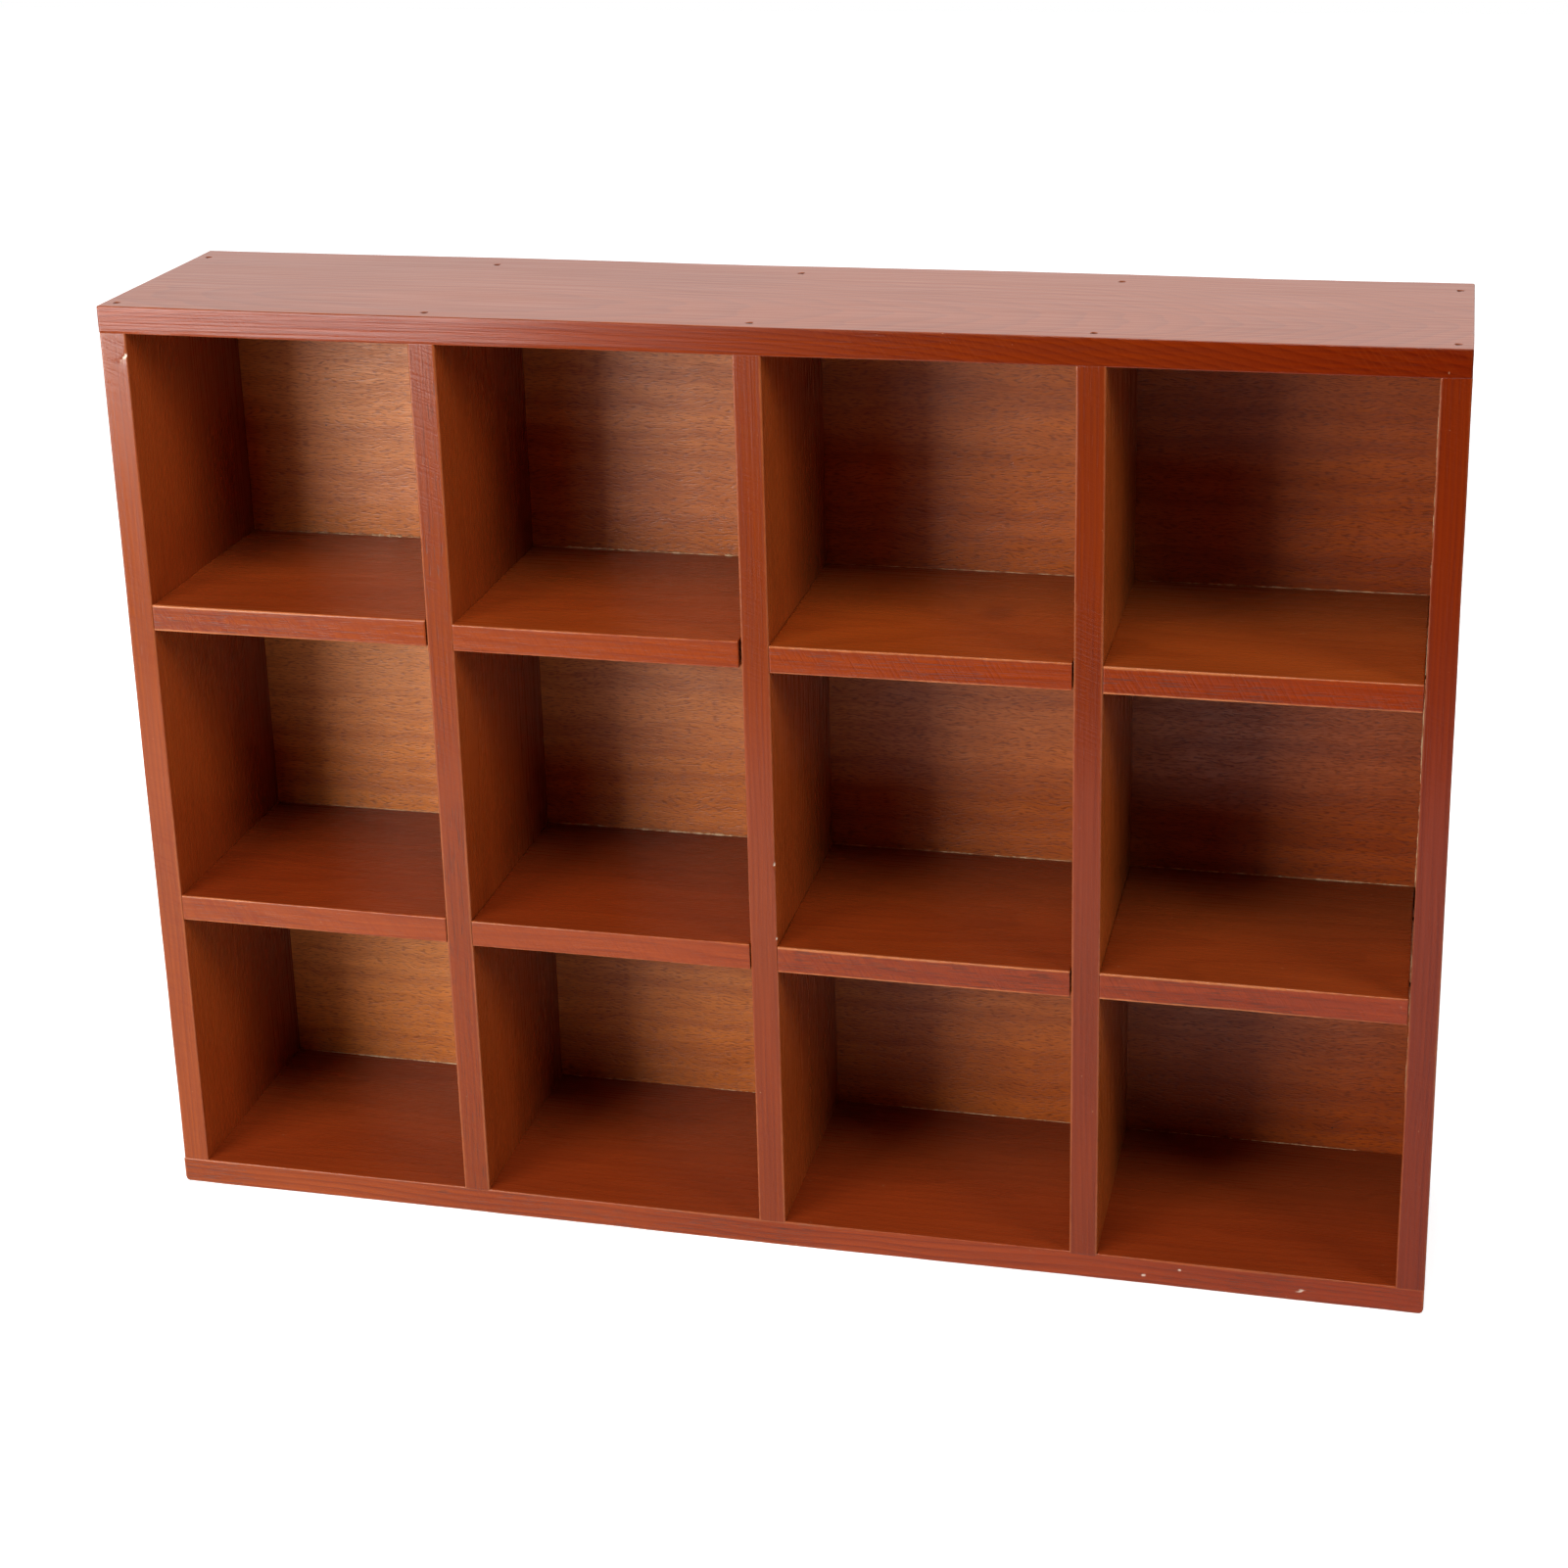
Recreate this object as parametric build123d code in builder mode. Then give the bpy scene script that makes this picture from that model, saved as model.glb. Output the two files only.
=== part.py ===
from build123d import *
import os

# Desk organizer with open compartments, made of thin boards that are butted, glued and nailed.
# The front faces -Y, +Z is up, and the origin is the middle of the footprint on the desk.
# All sizes are in millimetres.

# Overall size
width = 405.0
height = 300.0
depth = 81.5

# Compartments side by side and one above another
columns = 4
rows = 3

# Boards, and the plywood panel let in at the rear
board_thickness = 8.5
panel_thickness = 3.0
panel_clearance = 0.3
shelf_end_gap = 0.4
edge_radius = 0.4
foot_radius = 2.0

# How far the shelves were set off an even spacing by hand: (tier from below, column from the left)
shelf_offsets = {
    (1, 1): -0.5,
    (1, 2): -0.8,
    (1, 3): -0.8,
    (1, 4): -0.7,
    (2, 1): 2.0,
    (2, 2): 1.3,
    (2, 3): 0.4,
}

# Slits at the right-hand ends of the shelves that differ from the usual one: (tier, column) again
shelf_end_gaps = {
    (1, 1): 0.2,
    (1, 2): 0.3,
    (2, 1): 0.25,
    (2, 2): 0.8,
    (2, 3): 0.5,
    (2, 4): 0.2,
}

# Nails, with small heads set below the surface
nail_diameter = 1.2
nail_head_lip = 0.4
nail_head_height = 0.8
nail_length = 20.0
nail_point_length = 1.8
nail_set = 0.4
nail_clearance = 0.05
nail_tip_room = 0.3
panel_nail_length = 12.0

# Distances of the nails from the front of the boards and from their rear
frame_nail_front_inset = 5.0
frame_nail_rear_inset = 10.5
shelf_nail_front_inset = 18.0
shelf_nail_rear_inset = 15.0

# Planes, pitches and places that several pieces share
front = -depth / 2
rear = depth / 2
panel_front = rear - panel_thickness
inner_depth = panel_front - front
inner_middle = (panel_front + front) / 2
inner_height = height - 2 * board_thickness
column_pitch = (width - board_thickness) / columns
row_pitch = (height - board_thickness) / rows
tiers = range(1, rows)
upright_centres = [(i - columns / 2) * column_pitch for i in range(columns + 1)]
compartment_centres = [board_thickness / 2 + (i + 0.5) * row_pitch for i in range(rows)]
frame_nail_places = [front + frame_nail_front_inset, rear - frame_nail_rear_inset]
shelf_nail_places = [front + shelf_nail_front_inset, panel_front - shelf_nail_rear_inset]


def shelf_height(tier, column):
    """Height of a shelf's middle: its even place, and how far it was set off that."""
    return board_thickness / 2 + tier * row_pitch + shelf_offsets.get((tier, column), 0.0)


def shelf_length(tier, column):
    """Length of a shelf: the width between two uprights, short by the slit at its right-hand end."""
    return column_pitch - board_thickness - shelf_end_gaps.get((tier, column), shelf_end_gap)


def shelf_middle(tier, column):
    """Middle of a shelf along X, with its left end tight against the upright."""
    return upright_centres[column - 1] + board_thickness / 2 + shelf_length(tier, column) / 2


def top_nail_entries(x):
    """Planes where the nails enter the top board above the upright at x."""
    return [Plane(origin=(x, y, height), z_dir=(0, 0, 1)) for y in frame_nail_places]


def bottom_nail_entries(x):
    """Planes where the nails enter the bottom board below the upright at x."""
    return [Plane(origin=(x, y, 0), z_dir=(0, 0, -1)) for y in frame_nail_places]


def shelf_nail_entries(upright_x, outward, tier, column):
    """Planes where the nails enter an upright's outward face on their way into a shelf's end."""
    face_x = upright_x + outward * board_thickness / 2
    z = shelf_height(tier, column)
    return [Plane(origin=(face_x, y, z), z_dir=(outward, 0, 0)) for y in shelf_nail_places]


def column_nail_entries(upright_x, outward, column):
    """Planes of all the nails that go through one upright into the shelves of a column."""
    return [entry for tier in tiers for entry in shelf_nail_entries(upright_x, outward, tier, column)]


def panel_nail_entry(x, z):
    """Plane where a nail enters the rear panel."""
    return Plane(origin=(x, rear, z), z_dir=(0, 1, 0))


def bore_for_nails(entries, length):
    """Cut the holes of the nails that go in at the entry planes out of the board being built."""
    with Locations(*entries):
        CounterBoreHole(
            radius=nail_diameter / 2 + nail_clearance,
            counter_bore_radius=nail_diameter / 2 + nail_head_lip + nail_clearance,
            counter_bore_depth=nail_set + nail_head_height,
            depth=nail_set + length + nail_tip_room,
        )


def make_nail(length):
    """One nail below the XY plane: a flat head, a round shank and a point."""
    shank_radius = nail_diameter / 2
    head_radius = shank_radius + nail_head_lip
    head_top = -nail_set
    head_bottom = head_top - nail_head_height
    tip = head_top - length
    with BuildPart() as nail:
        with BuildSketch(Plane.XZ):
            with BuildLine():
                Polyline(
                    (0, head_top),
                    (head_radius, head_top),
                    (head_radius, head_bottom),
                    (shank_radius, head_bottom),
                    (shank_radius, tip + nail_point_length),
                    (0, tip),
                    close=True,
                )
            make_face()
        revolve(axis=Axis.Z)
    return nail.part


def write_piece(piece, name):
    """Label a finished piece and write its file."""
    piece.part.label = name
    export_step(piece.part, f"parts/{name}.step")


def write_nails(entries, nail, name):
    """Set one nail at each entry plane and write them as one group."""
    with BuildPart() as nails:
        with Locations(*entries):
            add(nail)
    write_piece(nails, name)


os.makedirs("parts", exist_ok=True)
board_nail = make_nail(nail_length)
panel_nail = make_nail(panel_nail_length)

# Nails through the top and bottom boards into every upright
top_entries = [entry for x in upright_centres for entry in top_nail_entries(x)]
bottom_entries = [entry for x in upright_centres for entry in bottom_nail_entries(x)]
write_nails(top_entries, board_nail, "top_nails")
write_nails(bottom_entries, board_nail, "bottom_nails")

# Top board, over the ends of the uprights
with BuildPart() as top_board:
    with BuildSketch(Plane.XY.offset(height - board_thickness)):
        Rectangle(width, depth)
    extrude(amount=board_thickness)
    fillet(top_board.edges(), edge_radius)
    bore_for_nails(top_entries, nail_length)
write_piece(top_board, "top_board")

# Bottom board, with its lower end corners worn round
with BuildPart() as bottom_board:
    with BuildSketch(Plane.XZ.offset(-rear)) as bottom_profile:
        with Locations((0, board_thickness / 2)):
            Rectangle(width, board_thickness)
        fillet(bottom_profile.vertices().group_by(Axis.Y)[0], foot_radius)
        fillet(bottom_profile.vertices().group_by(Axis.Y)[-1], edge_radius)
    extrude(amount=depth)
    fillet(bottom_board.faces().filter_by(Axis.Y).edges(), edge_radius)
    bore_for_nails(bottom_entries, nail_length)
write_piece(bottom_board, "bottom_board")

# Sides, square at their butted ends, with nails from outside into the shelves of the column that they close
for name, x, outward, column in [
    ("left_side", upright_centres[0], -1, 1),
    ("right_side", upright_centres[-1], 1, columns),
]:
    side_entries = column_nail_entries(x, outward, column)
    with BuildPart() as side:
        with BuildSketch(Plane.XY.offset(board_thickness)):
            with Locations((x, 0)):
                Rectangle(board_thickness, depth)
        extrude(amount=inner_height)
        fillet(side.edges().filter_by(Axis.Z), edge_radius)
        bore_for_nails(top_nail_entries(x) + bottom_nail_entries(x) + side_entries, nail_length)
    write_piece(side, name)
    write_nails(side_entries, board_nail, f"{name}_nails")

# Dividers, rounded only at the front, with nails from the left into the shelves of the column on their right
for number, x in enumerate(upright_centres[1:-1], start=1):
    divider_entries = column_nail_entries(x, -1, number + 1)
    with BuildPart() as divider:
        with BuildSketch(Plane.XY.offset(board_thickness)):
            with Locations((x, inner_middle)):
                Rectangle(board_thickness, inner_depth)
        extrude(amount=inner_height)
        fillet(divider.edges().filter_by(Axis.Z).group_by(Axis.Y)[0], edge_radius)
        bore_for_nails(top_nail_entries(x) + bottom_nail_entries(x) + divider_entries, nail_length)
        bore_for_nails([panel_nail_entry(x, z) for z in compartment_centres], panel_nail_length)
    write_piece(divider, f"divider_{number}")
    write_nails(divider_entries, board_nail, f"divider_{number}_nails")

# Short shelves between the uprights, with nails into their left ends and into the last ones' right ends
panel_entries = [panel_nail_entry(x, z) for x in upright_centres[1:-1] for z in compartment_centres]
for tier in tiers:
    for column in range(1, columns + 1):
        middle = shelf_middle(tier, column)
        z = shelf_height(tier, column)
        end_entries = shelf_nail_entries(upright_centres[column - 1], -1, tier, column)
        if column == columns:
            end_entries += shelf_nail_entries(upright_centres[-1], 1, tier, column)
        rear_entry = panel_nail_entry(middle, z)
        with BuildPart() as shelf:
            with BuildSketch(Plane.XY.offset(z - board_thickness / 2)):
                with Locations((middle, inner_middle)):
                    Rectangle(shelf_length(tier, column), inner_depth)
            extrude(amount=board_thickness)
            fillet(shelf.edges().filter_by(Axis.X).group_by(Axis.Y)[0], edge_radius)
            bore_for_nails(end_entries, nail_length)
            bore_for_nails([rear_entry], panel_nail_length)
        write_piece(shelf, f"shelf_tier{tier}_column{column}")
        panel_entries.append(rear_entry)

# Plywood panel inside the frame, nailed to the rear edges of the dividers and shelves
with BuildPart() as back_panel:
    with BuildSketch(Plane.XZ.offset(-rear)):
        with Locations((0, height / 2)):
            Rectangle(
                width - 2 * (board_thickness + panel_clearance),
                inner_height - 2 * panel_clearance,
            )
    extrude(amount=panel_thickness)
    bore_for_nails(panel_entries, panel_nail_length)
write_piece(back_panel, "back_panel")
write_nails(panel_entries, panel_nail, "back_panel_nails")
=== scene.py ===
"""Looks of a nailed wooden desk organizer with twelve open compartments.

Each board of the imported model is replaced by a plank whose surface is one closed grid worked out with
numpy: a box with worn, uneven arrises, a slight warp, nail pits and a few nicks. The nails stay as they
were packed, under a stained steel finish. All meshes are in metres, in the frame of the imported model: the
open front faces -Y, +X runs to the right and +Z is up.
"""
import logging
import math
from dataclasses import dataclass, field
from enum import Enum
from typing import Any, Sequence

import bpy
import numpy as np
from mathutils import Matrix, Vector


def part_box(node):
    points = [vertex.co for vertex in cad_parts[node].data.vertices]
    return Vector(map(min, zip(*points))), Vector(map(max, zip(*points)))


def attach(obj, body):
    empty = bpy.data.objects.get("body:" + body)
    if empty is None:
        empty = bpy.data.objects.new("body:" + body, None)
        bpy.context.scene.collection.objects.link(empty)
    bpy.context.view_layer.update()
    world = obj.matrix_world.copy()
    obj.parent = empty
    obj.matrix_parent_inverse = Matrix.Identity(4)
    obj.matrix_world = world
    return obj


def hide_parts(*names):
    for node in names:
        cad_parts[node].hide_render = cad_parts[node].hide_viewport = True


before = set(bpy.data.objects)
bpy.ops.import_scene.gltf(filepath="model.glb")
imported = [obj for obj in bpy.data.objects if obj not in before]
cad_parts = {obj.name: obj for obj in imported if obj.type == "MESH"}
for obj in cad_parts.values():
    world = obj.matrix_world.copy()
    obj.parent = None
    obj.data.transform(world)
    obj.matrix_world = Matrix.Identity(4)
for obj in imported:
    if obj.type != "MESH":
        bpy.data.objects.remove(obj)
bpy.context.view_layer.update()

LOG = logging.getLogger("organizer")
MM = 0.001
BODY = "root"

# Sides of a glue line's profile, and the corner numbers of the quads that close its ends
BEAD_SIDES = 8
BEAD_CAP = np.array([(0, 1, 2, 3), (0, 3, 4, 7), (7, 4, 5, 6)])

FLOAT_OUT = "NodeSocketFloat"
ALONG_X = (1.0, 0.0, 0.0)
ALONG_Y = (0.0, 1.0, 0.0)
ALONG_Z = (0.0, 0.0, 1.0)

Colour = tuple[float, float, float, float]
Triple = tuple[float, float, float]

WHITE: Colour = (1.0, 1.0, 1.0, 1.0)

# Painted light falloff, lighter at the left and darker to the right: its width, in mm, and its tints at
# both ends
LIGHT_FALLOFF_SPAN = 400.0
EDGE_LIGHT_FALLOFF: tuple[Colour, Colour] = ((0.81, 0.96, 0.75, 1.0), (0.56, 0.36, 0.20, 1.0))
SHELF_EDGE_LIGHT_FALLOFF: tuple[Colour, Colour] = ((0.85, 0.98, 0.70, 1.0), (0.80, 0.56, 0.28, 1.0))
VENEER_LIGHT_FALLOFF: tuple[Colour, Colour] = ((1.50, 1.48, 1.47, 1.0), (0.81, 0.42, 0.20, 1.0))


class GrainAxis(Enum):
    """Which way the fibres of a board run, as the axis number of the frame."""

    WIDTH = 0
    HEIGHT = 2


class Slot(Enum):
    """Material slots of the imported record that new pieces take."""

    WOOD = "stained_wood"
    PLYWOOD = "plywood"


class Mark(Enum):
    """Names of the point attributes that a plank's mesh carries for its finish."""

    ARRIS = "arris"
    FRONT = "front_edge"
    END = "end_grain"
    PIT = "nail_pit"
    CHIP = "chip"


def smooth_step(values: np.ndarray, start: float, stop: float) -> np.ndarray:
    """Rise from 0 at start to 1 at stop along the cubic 3t^2 - 2t^3.

    Args:
        values: Numbers to look up.
        start: Value at which the rise begins.
        stop: Value at which it ends.

    Returns:
        The rise at each value, from 0 to 1.
    """
    t = np.clip((values - start) / (stop - start), 0.0, 1.0)
    return t * t * (3.0 - 2.0 * t)


def ripple(points: np.ndarray, wavelength: float, seed: int, waves: int = 6) -> np.ndarray:
    """Smooth random field: the mean of a few sine waves with seeded directions and phases.

    Args:
        points: Places as rows of x, y and z.
        wavelength: Typical length of the waves, in the unit of the points.
        seed: Seed of the directions, lengths and phases.
        waves: How many waves are added.

    Returns:
        One number a point, mostly between -1 and 1.
    """
    draw = np.random.default_rng(seed)
    directions = draw.normal(size=(waves, 3))
    directions /= np.linalg.norm(directions, axis=1, keepdims=True)
    lengths = wavelength * draw.uniform(0.6, 1.6, size=(waves, 1))
    phases = draw.uniform(0.0, 2.0 * math.pi, size=waves)
    return np.sin(points @ (2.0 * math.pi * directions / lengths).T + phases).mean(axis=1) * 1.6


def quads(index: np.ndarray, outward: bool) -> np.ndarray:
    """Corner numbers of the cells of a grid of points.

    Args:
        index: Point numbers on a grid of rows and columns.
        outward: Whether rows then columns turn anticlockwise as seen from outside.

    Returns:
        One row of four point numbers for each cell.
    """
    corners = [index[:-1, :-1], index[1:, :-1], index[1:, 1:], index[:-1, 1:]]
    cells = np.stack(corners, axis=-1).reshape(-1, 4)
    return cells if outward else cells[:, ::-1]


def make_object(
    name: str,
    points: np.ndarray,
    faces: np.ndarray,
    marks: dict[Mark, np.ndarray] | None = None,
) -> bpy.types.Object:
    """Put points and quads into a smooth-shaded mesh object at the origin.

    Args:
        name: Name of the object and of its mesh.
        points: Places as rows of x, y and z, in metres.
        faces: Rows of four point numbers.
        marks: Numbers for each point that the finish reads as attributes.

    Returns:
        The new object, linked into the scene.
    """
    mesh = bpy.data.meshes.new(name)
    mesh.from_pydata(points.tolist(), [], faces.tolist())
    mesh.polygons.foreach_set("use_smooth", np.ones(len(faces), dtype=bool))
    for mark, values in (marks or {}).items():
        attribute = mesh.attributes.new(mark.value, "FLOAT", "POINT")
        attribute.data.foreach_set("value", values.astype(np.float32))
    mesh.update()
    piece = bpy.data.objects.new(name, mesh)
    bpy.context.scene.collection.objects.link(piece)
    return piece


class NodeSketch:
    """Short calls that place and wire the nodes of one shader tree."""

    def __init__(self, tree: bpy.types.NodeTree) -> None:
        """Keep the tree that the nodes go into."""
        self.tree = tree

    def feed(self, socket: bpy.types.NodeSocket, value: Any) -> None:
        """Link an output socket to an input, or set the input's own value."""
        if isinstance(value, bpy.types.NodeSocket):
            self.tree.links.new(value, socket)
        else:
            socket.default_value = value

    def add(self, kind: str, inputs: dict[Any, Any] | None = None, **settings: Any) -> bpy.types.Node:
        """Place a node.

        Args:
            kind: Blender's type name of the node.
            inputs: Values or output sockets for its inputs, by name or number.
            **settings: Properties of the node.

        Returns:
            The new node.
        """
        node = self.tree.nodes.new(kind)
        for key, value in settings.items():
            setattr(node, key, value)
        for key, value in (inputs or {}).items():
            self.feed(node.inputs[key], value)
        return node

    def math(self, operation: str, *values: Any, clamp: bool = False) -> bpy.types.NodeSocket:
        """Result of a Math node on one, two or three values."""
        node = self.add("ShaderNodeMath", dict(enumerate(values)), operation=operation, use_clamp=clamp)
        return node.outputs[0]

    def vector(self, operation: str, first: Any, second: Any) -> bpy.types.NodeSocket:
        """Vector result of a Vector Math node on two vectors."""
        node = self.add("ShaderNodeVectorMath", {0: first, 1: second}, operation=operation)
        return node.outputs["Vector"]

    def dot(self, first: Any, second: Any) -> bpy.types.NodeSocket:
        """Dot product of two vectors."""
        node = self.add("ShaderNodeVectorMath", {0: first, 1: second}, operation="DOT_PRODUCT")
        return node.outputs["Value"]

    def noise(self, vector: Any, scale: float, detail: float) -> bpy.types.NodeSocket:
        """Value of a noise texture, about 0.5 on average."""
        inputs = {"Vector": vector, "Scale": scale, "Detail": detail}
        return self.add("ShaderNodeTexNoise", inputs).outputs["Fac"]

    def remap(
        self, value: Any, start: Any, stop: Any, low: float = 0.0, high: float = 1.0
    ) -> bpy.types.NodeSocket:
        """Smooth map of a value from one range to another, held at both ends."""
        inputs = {"Value": value, "From Min": start, "From Max": stop, "To Min": low, "To Max": high}
        return self.add("ShaderNodeMapRange", inputs, interpolation_type="SMOOTHSTEP").outputs["Result"]

    def blend(self, share: Any, first: Any, second: Any, mode: str = "MIX") -> bpy.types.NodeSocket:
        """Colour between two colours, or one laid over the other by a blend mode."""
        inputs = {0: share, 6: first, 7: second}
        return self.add("ShaderNodeMix", inputs, data_type="RGBA", blend_type=mode).outputs[2]

    def lay(self, mask: Any, strength: float, under: Any, over: Any) -> bpy.types.NodeSocket:
        """Colour with another laid over it where a mask is, at a strength."""
        return self.blend(self.math("MULTIPLY", mask, strength), under, over)

    def bump(self, shader: bpy.types.Node, height: Any, strength: float, distance: float) -> None:
        """Feed a shader's normal with a bump, at a strength and a distance in metres."""
        inputs = {"Height": height, "Strength": strength, "Distance": distance}
        self.feed(shader.inputs["Normal"], self.add("ShaderNodeBump", inputs).outputs[0])

    def mark(self, mark: Mark) -> bpy.types.NodeSocket:
        """Value of one of the piece's own point attributes."""
        return self.add("ShaderNodeAttribute", attribute_name=mark.value).outputs["Fac"]


@dataclass
class EffectGroup:
    """A shader node group with named sockets, built once and placed in many materials."""

    name: str
    inputs: dict[str, Any]
    outputs: dict[str, str]
    tree: bpy.types.NodeTree = field(init=False)
    sketch: NodeSketch = field(init=False)
    source: bpy.types.Node = field(init=False)
    target: bpy.types.Node = field(init=False)

    def __post_init__(self) -> None:
        """Make the group's tree and its sockets."""
        self.tree = bpy.data.node_groups.new(self.name, "ShaderNodeTree")
        for label, default in self.inputs.items():
            kind = "NodeSocketVector" if isinstance(default, tuple) else "NodeSocketFloat"
            socket = self.tree.interface.new_socket(label, in_out="INPUT", socket_type=kind)
            socket.default_value = default
        for label, kind in self.outputs.items():
            self.tree.interface.new_socket(label, in_out="OUTPUT", socket_type=kind)
        self.sketch = NodeSketch(self.tree)
        self.source = self.sketch.add("NodeGroupInput")
        self.target = self.sketch.add("NodeGroupOutput")

    def value(self, label: str) -> bpy.types.NodeSocket:
        """Socket inside the group that carries one of its inputs."""
        return self.source.outputs[label]

    def give(self, label: str, value: bpy.types.NodeSocket) -> None:
        """Link a result inside the group to one of its outputs."""
        self.sketch.feed(self.target.inputs[label], value)

    def place(self, sketch: NodeSketch, inputs: dict[str, Any]) -> dict[str, bpy.types.NodeSocket]:
        """Place the group in a material.

        Args:
            sketch: The material's nodes.
            inputs: Values or output sockets for the group's inputs.

        Returns:
            The group node's outputs by name.
        """
        node = sketch.add("ShaderNodeGroup", node_tree=self.tree)
        for label, value in inputs.items():
            sketch.feed(node.inputs[label], value)
        return {label: node.outputs[label] for label in self.outputs}


def growth_figure_group() -> EffectGroup:
    """Growth rings, fibres, pores and stain blotches of a board, in millimetres with the fibres along X.

    The rings are shells about the X axis: a ring's number is the distance from that axis, with the way
    along it scaled by the taper and bent by slow noise, divided by the ring spacing. Within a ring the
    wood darkens towards the late wood and then starts again. A knot pushes the rings apart.

    Returns:
        The group, with the outputs Rings, Fibres, Pores, Blotches and Knot from 0 to 1.
    """
    group = EffectGroup(
        "growth_figure",
        {"Vector": (0.0, 0.0, 0.0), "Ring Spacing": 1.6, "Waviness": 3.0, "Taper": (0.02, 1.0, 1.0),
         "Knot Place": (0.0, 0.0, 0.0), "Knot Radius": 0.01},
        dict.fromkeys(("Rings", "Fibres", "Pores", "Blotches", "Knot"), FLOAT_OUT),
    )
    s = group.sketch
    vector = group.value("Vector")
    away = s.add("ShaderNodeVectorMath", {0: vector, 1: group.value("Knot Place")}, operation="DISTANCE")
    knot_reach = s.math("DIVIDE", away.outputs["Value"], group.value("Knot Radius"))
    knot_swell = s.math("EXPONENT", s.math("MULTIPLY", s.math("POWER", knot_reach, 2.0), -0.35))
    slow = s.noise(s.vector("MULTIPLY", vector, (0.007, 0.035, 0.035)), 1.0, 2.0)
    bend = s.math("MULTIPLY", s.math("SUBTRACT", slow, 0.5), group.value("Waviness"))
    across = s.vector("MULTIPLY", vector, group.value("Taper"))
    radius = s.add("ShaderNodeVectorMath", {0: across}, operation="LENGTH").outputs["Value"]
    radius = s.math("ADD", radius, s.math("MULTIPLY_ADD", knot_swell, 3.2, bend))
    phase = s.math("FRACT", s.math("DIVIDE", radius, group.value("Ring Spacing")))
    late = s.math("POWER", phase, 2.2)
    early = s.remap(phase, 0.9, 1.0, 1.0, 0.0)
    group.give("Rings", s.math("MULTIPLY", late, early))
    fibres = s.noise(s.vector("MULTIPLY", vector, (0.018, 1.3, 1.3)), 1.0, 2.0)
    group.give("Fibres", s.remap(fibres, 0.28, 0.72))
    blotches = s.remap(s.noise(s.vector("MULTIPLY", vector, (0.012, 0.03, 0.03)), 1.0, 1.0), 0.3, 0.7)
    group.give("Blotches", blotches)
    pores = s.noise(s.vector("MULTIPLY", vector, (0.14, 2.9, 2.9)), 1.0, 0.0)
    crowding = s.remap(blotches, 0.1, 0.7, 0.3, 1.0)
    group.give("Pores", s.math("MULTIPLY", s.remap(pores, 0.62, 0.74), crowding))
    group.give("Knot", s.remap(knot_reach, 0.9, 0.25))
    return group


def saw_mark_group() -> EffectGroup:
    """Fine lines that a saw leaves across an edge: noise that is quick along the cut and slow across it.

    Returns:
        The group, with the output Marks from 0 to 1.
    """
    group = EffectGroup(
        "saw_marks",
        {"Vector": (0.0, 0.0, 0.0), "Direction": (0.87, 0.0, 0.5), "Pitch": 0.8, "Patch": 0.5},
        {"Marks": FLOAT_OUT},
    )
    s = group.sketch
    vector = group.value("Vector")
    along = s.math("DIVIDE", s.dot(vector, group.value("Direction")), group.value("Pitch"))
    line_way = s.vector("CROSS_PRODUCT", group.value("Direction"), ALONG_Y)
    across = s.math("MULTIPLY", s.dot(vector, line_way), 0.09)
    lines = s.noise(s.add("ShaderNodeCombineXYZ", {0: along, 1: across}).outputs[0], 1.0, 1.0)
    marks = s.remap(lines, 0.42, 0.68)
    group.give("Marks", s.math("MULTIPLY", marks, s.remap(group.value("Patch"), 0.1, 0.8, 0.35, 1.0)))
    return group


def worn_arris_and_highlight_group() -> EffectGroup:
    """Rubbed stain and a painted highlight along arrises: closeness to the arris, broken up by noise and by
    the stain's blotches.

    Returns:
        The group, with the output RubAndHighlight from 0 to 1.
    """
    group = EffectGroup(
        "worn_arris_and_highlight",
        {"Vector": (0.0, 0.0, 0.0), "Arris": 0.0, "Patch": 0.5, "Amount": 0.5},
        {"RubAndHighlight": FLOAT_OUT},
    )
    s = group.sketch
    rough = s.noise(group.value("Vector"), 0.35, 1.0)
    broken = s.math("MULTIPLY_ADD", rough, 0.5, s.math("MULTIPLY", group.value("Patch"), 0.5))
    worn = s.remap(s.math("ADD", group.value("Arris"), broken), 1.0, 1.7)
    group.give("RubAndHighlight", s.math("MULTIPLY", worn, group.value("Amount"), clamp=True))
    return group


def speck_group() -> EffectGroup:
    """Sparse small specks: the peaks of a fine noise above a threshold.

    Returns:
        The group, with the output Specks from 0 to 1.
    """
    group = EffectGroup(
        "specks",
        {"Vector": (0.0, 0.0, 0.0), "Fineness": (0.6, 0.6, 0.6), "Threshold": 0.76},
        {"Specks": FLOAT_OUT},
    )
    s = group.sketch
    fine = s.noise(s.vector("MULTIPLY", group.value("Vector"), group.value("Fineness")), 1.0, 0.0)
    edge = group.value("Threshold")
    group.give("Specks", s.remap(fine, edge, s.math("ADD", edge, 0.05)))
    return group


@dataclass(frozen=True)
class Effects:
    """The shared effects, made once for all finishes."""

    figure: EffectGroup
    saw: EffectGroup
    arris: EffectGroup
    specks: EffectGroup


def new_material(name: str, fallback: Colour) -> tuple[bpy.types.Material, NodeSketch, bpy.types.Node]:
    """Make an empty node material with its shader.

    Args:
        name: Name of the material.
        fallback: Plain colour that viewports show.

    Returns:
        The material, the calls for its nodes and its Principled BSDF.
    """
    material = bpy.data.materials.new(name)
    material.diffuse_color = fallback
    material.use_nodes = True
    material.node_tree.nodes.clear()
    sketch = NodeSketch(material.node_tree)
    shader = sketch.add("ShaderNodeBsdfPrincipled")
    sketch.add("ShaderNodeOutputMaterial", {"Surface": shader.outputs[0]})
    return material, sketch, shader


def millimetres(sketch: NodeSketch) -> bpy.types.NodeSocket:
    """Object coordinates in millimetres."""
    place = sketch.add("ShaderNodeTexCoord").outputs["Object"]
    return sketch.vector("MULTIPLY", place, (1000.0, 1000.0, 1000.0))


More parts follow.
